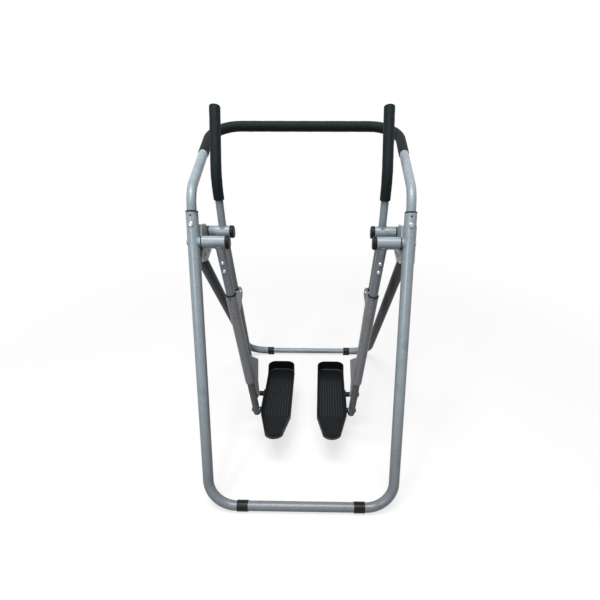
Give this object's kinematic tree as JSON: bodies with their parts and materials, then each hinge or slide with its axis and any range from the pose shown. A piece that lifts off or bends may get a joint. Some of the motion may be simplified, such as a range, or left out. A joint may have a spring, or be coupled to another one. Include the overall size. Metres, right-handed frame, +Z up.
{
  "type": "air walker",
  "caption": "Folding air walker: two hinged tube floor frames, a fixed handlebar, and swinging parallel arms with handles that carry level footplates.",
  "frame": {"origin": "on the floor, midway between the four feet and on the plane that mirrors left to right", "axes": "+Z up, +Y the way the walker faces, +X to the walker's right"},
  "size_m": [0.729, 1.0855, 1.2215],
  "materials": {
    "silver_paint": "satin",
    "bracket_paint": "satin",
    "black_paint": "satin",
    "bright_steel": "polished",
    "zinc_steel": "satin",
    "black_plastic": "matte",
    "tread_plastic": "matte",
    "black_foam": "matte",
    "black_rubber": "matte"
  },
  "bodies": {
    "rear_frame": {"rear_frame_tube": "silver_paint", "collar_rings": "black_plastic", "handlebar_tube": "silver_paint", "handlebar_foam": "black_foam", "handlebar_bolts": "bright_steel", "left_hinge_bracket": "bracket_paint", "right_hinge_bracket": "bracket_paint", "rear_axles": "zinc_steel", "front_axles": "zinc_steel", "axle_screws": "zinc_steel", "rear_feet": "black_rubber", "bracket_bolts": "zinc_steel", "stop_rollers": "black_rubber"},
    "front_frame": {"front_frame_tube": "silver_paint", "front_rail_tube": "silver_paint", "front_feet": "black_rubber", "leg_plugs": "black_plastic", "fold_washers": "zinc_steel"},
    "left_front_arm": {"left_front_arm": "silver_paint", "left_front_bushes": "black_plastic", "left_front_cap": "black_plastic", "left_front_collar": "black_plastic", "left_front_lower_tube": "silver_paint", "left_front_foot_tube": "silver_paint", "left_arm_plates": "silver_paint", "left_handle_tube": "silver_paint", "left_handle_foam": "black_foam"},
    "left_rear_arm": {"left_rear_arm": "silver_paint", "left_rear_bushes": "black_plastic", "left_rear_cap": "black_plastic", "left_rear_collar": "black_plastic", "left_rear_lower_tube": "silver_paint", "left_rear_foot_tube": "silver_paint", "left_arm_bolts": "bright_steel"},
    "left_pedal": {"left_footplate": "tread_plastic", "left_footplate_rim": "tread_plastic", "left_pedal_carrier": "black_paint", "left_pedal_pins": "black_paint", "left_tray_screws": "black_paint"},
    "right_front_arm": {"right_front_arm": "silver_paint", "right_front_bushes": "black_plastic", "right_front_cap": "black_plastic", "right_front_collar": "black_plastic", "right_front_lower_tube": "silver_paint", "right_front_foot_tube": "silver_paint", "right_arm_plates": "silver_paint", "right_handle_tube": "silver_paint", "right_handle_foam": "black_foam"},
    "right_rear_arm": {"right_rear_arm": "silver_paint", "right_rear_bushes": "black_plastic", "right_rear_cap": "black_plastic", "right_rear_collar": "black_plastic", "right_rear_lower_tube": "silver_paint", "right_rear_foot_tube": "silver_paint", "right_arm_bolts": "bright_steel"},
    "right_pedal": {"right_footplate": "tread_plastic", "right_footplate_rim": "tread_plastic", "right_pedal_carrier": "black_paint", "right_pedal_pins": "black_paint", "right_tray_screws": "black_paint"}
  },
  "joints": [
    {"name": "front_frame_fold", "type": "hinge", "parent": "rear_frame", "child": "front_frame", "pos_m": [0, -0.12489, 0.82237], "axis": [1, 0, 0], "range_deg": [-62, 0]},
    {"name": "left_swing", "type": "hinge", "parent": "rear_frame", "child": "left_front_arm", "pos_m": [0, -0.05389, 0.87137], "axis": [1, 0, 0], "range_deg": [-30, 30]},
    {"name": "left_rear_swing", "type": "hinge", "parent": "rear_frame", "child": "left_rear_arm", "pos_m": [0, -0.15889, 0.87137], "axis": [1, 0, 0], "range_deg": [-30, 30]},
    {"name": "left_pedal_hinge", "type": "hinge", "parent": "left_front_arm", "child": "left_pedal", "pos_m": [0, -0.05389, 0.17587], "axis": [1, 0, 0], "range_deg": [-30, 30]},
    {"name": "right_swing", "type": "hinge", "parent": "rear_frame", "child": "right_front_arm", "pos_m": [0, -0.05389, 0.87137], "axis": [1, 0, 0], "range_deg": [-30, 30]},
    {"name": "right_rear_swing", "type": "hinge", "parent": "rear_frame", "child": "right_rear_arm", "pos_m": [0, -0.15889, 0.87137], "axis": [1, 0, 0], "range_deg": [-30, 30]},
    {"name": "right_pedal_hinge", "type": "hinge", "parent": "right_front_arm", "child": "right_pedal", "pos_m": [0, -0.05389, 0.17587], "axis": [1, 0, 0], "range_deg": [-30, 30]}
  ],
  "couplings": [
    {"joint": "left_rear_swing", "follows": "left_swing", "ratio": 1},
    {"joint": "left_pedal_hinge", "follows": "left_swing", "ratio": -1},
    {"joint": "right_rear_swing", "follows": "right_swing", "ratio": 1},
    {"joint": "right_pedal_hinge", "follows": "right_swing", "ratio": -1}
  ]
}
